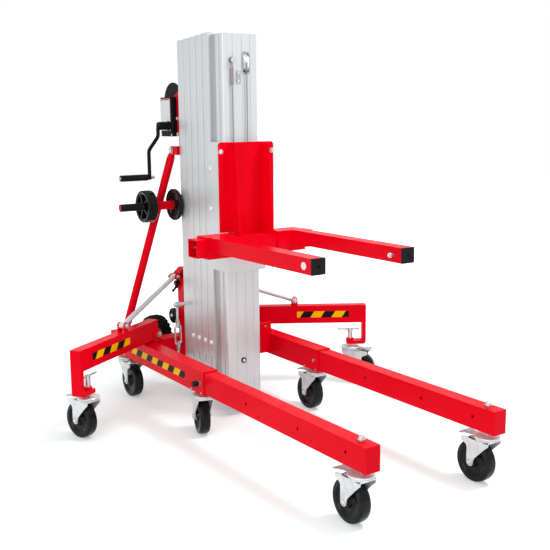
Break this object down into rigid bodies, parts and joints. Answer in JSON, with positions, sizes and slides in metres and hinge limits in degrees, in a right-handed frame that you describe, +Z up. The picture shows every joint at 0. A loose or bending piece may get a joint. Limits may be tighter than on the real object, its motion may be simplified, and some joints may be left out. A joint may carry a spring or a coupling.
{
  "type": "material lift",
  "caption": "Crank-operated material lift with telescopic aluminium mast, forks, swing-out stabilizer arms and a red tubular base on swivel casters.",
  "frame": {"origin": "on the floor, on the centre plane between the forks, midway along the base from the legs' front faces to the sleeves' rear ends", "axes": "+X to the right seen from the forks, +Y from the forks towards the winch, +Z up"},
  "size_m": [1.5929, 1.99, 1.703],
  "materials": {
    "red_paint": "gloss",
    "aluminium": "satin anodised",
    "zinc": "zinc plated",
    "fork_zinc": "bright zinc plated sheet",
    "black_plastic": "satin",
    "rubber": "matt rubber",
    "steel_cable": "stranded wire",
    "dark_paint": "satin"
  },
  "bodies": {
    "base": {"sleeve_left": "red_paint", "sleeve_right": "red_paint", "rear_crossmember": "red_paint", "rear_post": "red_paint", "base_fasteners": "zinc", "mast_section_1": "aluminium", "mast_frame": "red_paint", "winch": "dark_paint"},
    "leg_left": {"leg_left": "red_paint"},
    "leg_plunger_left": {"leg_plunger_left": "black_plastic"},
    "caster_fork_front_left": {"caster_fork_front_left": "fork_zinc"},
    "caster_wheel_front_left": {"caster_wheel_front_left": "black_plastic"},
    "caster_fork_middle_left": {"caster_fork_middle_left": "fork_zinc"},
    "caster_wheel_middle_left": {"caster_wheel_middle_left": "black_plastic"},
    "caster_fork_rear_left": {"caster_fork_rear_left": "fork_zinc"},
    "caster_wheel_rear_left": {"caster_wheel_rear_left": "black_plastic"},
    "arm_left": {"arm_left": "red_paint"},
    "brace_left": {"brace_left": "aluminium"},
    "spindle_left": {"spindle_left": "zinc"},
    "caster_fork_arm_left": {"caster_fork_arm_left": "fork_zinc"},
    "caster_wheel_arm_left": {"caster_wheel_arm_left": "black_plastic"},
    "fork_left": {"fork_left": "red_paint", "fork_cap_left": "black_plastic"},
    "fork_pin_left": {"fork_pin_left": "zinc"},
    "beam_knob_left": {"beam_knob_left": "black_plastic"},
    "turnbuckle_left": {"turnbuckle_left": "zinc"},
    "transport_wheels_left": {"transport_wheels_left": "black_plastic"},
    "tyre_wheel_left": {"tyre_wheel_left": "rubber"},
    "leg_right": {"leg_right": "red_paint"},
    "leg_plunger_right": {"leg_plunger_right": "black_plastic"},
    "caster_fork_front_right": {"caster_fork_front_right": "fork_zinc"},
    "caster_wheel_front_right": {"caster_wheel_front_right": "black_plastic"},
    "caster_fork_middle_right": {"caster_fork_middle_right": "fork_zinc"},
    "caster_wheel_middle_right": {"caster_wheel_middle_right": "black_plastic"},
    "caster_fork_rear_right": {"caster_fork_rear_right": "fork_zinc"},
    "caster_wheel_rear_right": {"caster_wheel_rear_right": "black_plastic"},
    "arm_right": {"arm_right": "red_paint"},
    "brace_right": {"brace_right": "aluminium"},
    "spindle_right": {"spindle_right": "zinc"},
    "caster_fork_arm_right": {"caster_fork_arm_right": "fork_zinc"},
    "caster_wheel_arm_right": {"caster_wheel_arm_right": "black_plastic"},
    "fork_right": {"fork_right": "red_paint", "fork_cap_right": "black_plastic"},
    "fork_pin_right": {"fork_pin_right": "zinc"},
    "beam_knob_right": {"beam_knob_right": "black_plastic"},
    "turnbuckle_right": {"turnbuckle_right": "zinc"},
    "transport_wheels_right": {"transport_wheels_right": "black_plastic"},
    "tyre_wheel_right": {"tyre_wheel_right": "rubber"},
    "mast_section_2": {"mast_section_2": "aluminium"},
    "mast_section_3": {"mast_section_3": "aluminium"},
    "mast_section_4": {"mast_section_4": "aluminium"},
    "mast_section_5": {"mast_section_5": "aluminium"},
    "mast_front": {"mast_front": "aluminium", "lifting_cables": "steel_cable"},
    "carriage": {"carriage_body": "aluminium", "carriage_frame": "red_paint"},
    "top_sheave": {"top_sheave": "black_plastic"},
    "crank": {"crank": "zinc"},
    "crank_grip": {"crank_grip": "black_plastic"},
    "clamp_lever": {"clamp_lever": "black_plastic"}
  },
  "joints": [
    {"name": "leg_left_slide", "type": "slide", "parent": "base", "child": "leg_left", "axis": [0, 1, 0], "range_m": [0, 0.684]},
    {"name": "leg_plunger_left_pull", "type": "slide", "parent": "base", "child": "leg_plunger_left", "axis": [-1, 0, 0], "range_m": [0, 0.01], "stiffness_N_per_m": 400},
    {"name": "caster_front_left_swivel", "type": "hinge", "parent": "leg_left", "child": "caster_fork_front_left", "pos_m": [-0.2973, -0.9225, 0.19], "axis": [0, 0, 1], "continuous": true},
    {"name": "caster_front_left_roll", "type": "hinge", "parent": "caster_fork_front_left", "child": "caster_wheel_front_left", "pos_m": [-0.2973, -0.8725, 0.08], "axis": [-1, 0, 0], "continuous": true},
    {"name": "caster_middle_left_swivel", "type": "hinge", "parent": "base", "child": "caster_fork_middle_left", "pos_m": [-0.2973, 0.1145, 0.19], "axis": [0, 0, 1], "continuous": true},
    {"name": "caster_middle_left_roll", "type": "hinge", "parent": "caster_fork_middle_left", "child": "caster_wheel_middle_left", "pos_m": [-0.28268, 0.16231, 0.08], "axis": [-0.9563, 0.2924, 0], "continuous": true},
    {"name": "caster_rear_left_swivel", "type": "hinge", "parent": "base", "child": "caster_fork_rear_left", "pos_m": [-0.2973, 0.8695, 0.19], "axis": [0, 0, 1], "continuous": true},
    {"name": "caster_rear_left_roll", "type": "hinge", "parent": "caster_fork_rear_left", "child": "caster_wheel_rear_left", "pos_m": [-0.2973, 0.8195, 0.08], "axis": [1, 0, 0], "continuous": true},
    {"name": "arm_left_fold", "type": "hinge", "parent": "base", "child": "arm_left", "pos_m": [-0.258, 0.6625, 0.338], "axis": [-0.5388, 0.8425, 0], "range_deg": [0, 60]},
    {"name": "brace_left_fold", "type": "hinge", "parent": "base", "child": "brace_left", "pos_m": [-0.07519, 0.77941, 0.575], "axis": [-0.5388, 0.8425, 0], "range_deg": [0, 60]},
    {"name": "spindle_left_jack", "type": "slide", "parent": "arm_left", "child": "spindle_left", "axis": [0, 0, -1], "range_m": [0, 0.04]},
    {"name": "caster_arm_left_swivel", "type": "hinge", "parent": "spindle_left", "child": "caster_fork_arm_left", "pos_m": [-0.70787, 0.3748, 0.19], "axis": [0, 0, 1], "continuous": true},
    {"name": "caster_arm_left_roll", "type": "hinge", "parent": "caster_fork_arm_left", "child": "caster_wheel_arm_left", "pos_m": [-0.72165, 0.42286, 0.08], "axis": [-0.9613, -0.2756, 0], "continuous": true},
    {"name": "fork_left_shift", "type": "slide", "parent": "carriage", "child": "fork_left", "axis": [1, 0, 0], "range_m": [-0.003, 0.007]},
    {"name": "fork_pin_left_pull", "type": "slide", "parent": "fork_left", "child": "fork_pin_left", "axis": [-1, 0, 0], "range_m": [0, 0.06]},
    {"name": "beam_knob_left_turn", "type": "hinge", "parent": "carriage", "child": "beam_knob_left", "pos_m": [-0.267, 0.2195, 0.803], "axis": [0, 1, 0], "continuous": true},
    {"name": "turnbuckle_left_turn", "type": "hinge", "parent": "base", "child": "turnbuckle_left", "pos_m": [-0.138, 0.6355, 0.321], "axis": [0, 0, 1], "continuous": true},
    {"name": "transport_wheels_left_roll", "type": "hinge", "parent": "base", "child": "transport_wheels_left", "pos_m": [-0.18, 0.6915, 0.938], "axis": [1, 0, 0], "continuous": true},
    {"name": "tyre_wheel_left_roll", "type": "hinge", "parent": "base", "child": "tyre_wheel_left", "pos_m": [-0.127, 0.8895, 0.249], "axis": [1, 0, 0], "continuous": true},
    {"name": "leg_right_slide", "type": "slide", "parent": "base", "child": "leg_right", "axis": [0, 1, 0], "range_m": [0, 0.684]},
    {"name": "leg_plunger_right_pull", "type": "slide", "parent": "base", "child": "leg_plunger_right", "axis": [1, 0, 0], "range_m": [0, 0.01], "stiffness_N_per_m": 400},
    {"name": "caster_front_right_swivel", "type": "hinge", "parent": "leg_right", "child": "caster_fork_front_right", "pos_m": [0.2973, -0.9225, 0.19], "axis": [0, 0, 1], "continuous": true},
    {"name": "caster_front_right_roll", "type": "hinge", "parent": "caster_fork_front_right", "child": "caster_wheel_front_right", "pos_m": [0.2973, -0.8725, 0.08], "axis": [-1, 0, 0], "continuous": true},
    {"name": "caster_middle_right_swivel", "type": "hinge", "parent": "base", "child": "caster_fork_middle_right", "pos_m": [0.2973, 0.1145, 0.19], "axis": [0, 0, 1], "continuous": true},
    {"name": "caster_middle_right_roll", "type": "hinge", "parent": "caster_fork_middle_right", "child": "caster_wheel_middle_right", "pos_m": [0.29905, 0.16447, 0.08], "axis": [-0.9994, 0.0349, 0], "continuous": true},
    {"name": "caster_rear_right_swivel", "type": "hinge", "parent": "base", "child": "caster_fork_rear_right", "pos_m": [0.2973, 0.8695, 0.19], "axis": [0, 0, 1], "continuous": true},
    {"name": "caster_rear_right_roll", "type": "hinge", "parent": "caster_fork_rear_right", "child": "caster_wheel_rear_right", "pos_m": [0.2973, 0.8195, 0.08], "axis": [1, 0, 0], "continuous": true},
    {"name": "arm_right_fold", "type": "hinge", "parent": "base", "child": "arm_right", "pos_m": [0.258, 0.6625, 0.338], "axis": [-0.5388, -0.8425, 0], "range_deg": [0, 60]},
    {"name": "brace_right_fold", "type": "hinge", "parent": "base", "child": "brace_right", "pos_m": [0.07519, 0.77941, 0.575], "axis": [-0.5388, -0.8425, 0], "range_deg": [0, 60]},
    {"name": "spindle_right_jack", "type": "slide", "parent": "arm_right", "child": "spindle_right", "axis": [0, 0, -1], "range_m": [0, 0.04]},
    {"name": "caster_arm_right_swivel", "type": "hinge", "parent": "spindle_right", "child": "caster_fork_arm_right", "pos_m": [0.70787, 0.3748, 0.19], "axis": [0, 0, 1], "continuous": true},
    {"name": "caster_arm_right_roll", "type": "hinge", "parent": "caster_fork_arm_right", "child": "caster_wheel_arm_right", "pos_m": [0.74001, 0.33649, 0.08], "axis": [0.766, 0.6428, 0], "continuous": true},
    {"name": "fork_right_shift", "type": "slide", "parent": "carriage", "child": "fork_right", "axis": [-1, 0, 0], "range_m": [-0.003, 0.007]},
    {"name": "fork_pin_right_pull", "type": "slide", "parent": "fork_right", "child": "fork_pin_right", "axis": [1, 0, 0], "range_m": [0, 0.06]},
    {"name": "beam_knob_right_turn", "type": "hinge", "parent": "carriage", "child": "beam_knob_right", "pos_m": [0.267, 0.2195, 0.803], "axis": [0, 1, 0], "continuous": true},
    {"name": "turnbuckle_right_turn", "type": "hinge", "parent": "base", "child": "turnbuckle_right", "pos_m": [0.138, 0.6355, 0.321], "axis": [0, 0, 1], "continuous": true},
    {"name": "transport_wheels_right_roll", "type": "hinge", "parent": "base", "child": "transport_wheels_right", "pos_m": [0.18, 0.6915, 0.938], "axis": [1, 0, 0], "continuous": true},
    {"name": "tyre_wheel_right_roll", "type": "hinge", "parent": "base", "child": "tyre_wheel_right", "pos_m": [0.127, 0.8895, 0.249], "axis": [1, 0, 0], "continuous": true},
    {"name": "mast_section_2_lift", "type": "slide", "parent": "base", "child": "mast_section_2", "axis": [0, 0, 1], "range_m": [0, 0.95]},
    {"name": "mast_section_3_lift", "type": "slide", "parent": "mast_section_2", "child": "mast_section_3", "axis": [0, 0, 1], "range_m": [0, 0.95]},
    {"name": "mast_section_4_lift", "type": "slide", "parent": "mast_section_3", "child": "mast_section_4", "axis": [0, 0, 1], "range_m": [0, 0.95]},
    {"name": "mast_section_5_lift", "type": "slide", "parent": "mast_section_4", "child": "mast_section_5", "axis": [0, 0, 1], "range_m": [0, 0.95]},
    {"name": "mast_front_lift", "type": "slide", "parent": "mast_section_5", "child": "mast_front", "axis": [0, 0, 1], "range_m": [0, 0.95]},
    {"name": "carriage_lift", "type": "slide", "parent": "mast_front", "child": "carriage", "axis": [0, 0, 1], "range_m": [-0.4, 0.2], "deforming": ["lifting_cables"]},
    {"name": "top_sheave_turn", "type": "hinge", "parent": "mast_front", "child": "top_sheave", "pos_m": [0.0285, 0.2885, 1.571], "axis": [1, 0, 0], "range_deg": [-310, 620]},
    {"name": "crank_turn", "type": "hinge", "parent": "base", "child": "crank", "pos_m": [-0.13, 0.7335, 1.3055], "axis": [1, 0, 0], "range_deg": [-3610, 1810]},
    {"name": "crank_grip_turn", "type": "hinge", "parent": "crank", "child": "crank_grip", "pos_m": [-0.29, 0.7335, 1.069], "axis": [1, 0, 0], "continuous": true},
    {"name": "clamp_lever_turn", "type": "hinge", "parent": "base", "child": "clamp_lever", "pos_m": [-0.0613, 0.7775, 0.543], "axis": [1, 0, 0], "range_deg": [-60, 45]}
  ],
  "couplings": [
    {"joint": "brace_left_fold", "follows": "arm_left_fold", "ratio": 1},
    {"joint": "brace_right_fold", "follows": "arm_right_fold", "ratio": 1},
    {"joint": "mast_section_3_lift", "follows": "mast_section_2_lift", "ratio": 1},
    {"joint": "mast_section_4_lift", "follows": "mast_section_2_lift", "ratio": 1},
    {"joint": "mast_section_5_lift", "follows": "mast_section_2_lift", "ratio": 1},
    {"joint": "mast_front_lift", "follows": "mast_section_2_lift", "ratio": 1},
    {"joint": "top_sheave_turn", "follows": "carriage_lift", "rad_per_m": -26.316},
    {"joint": "crank_turn", "follows": "carriage_lift", "rad_per_m": 157.08}
  ]
}
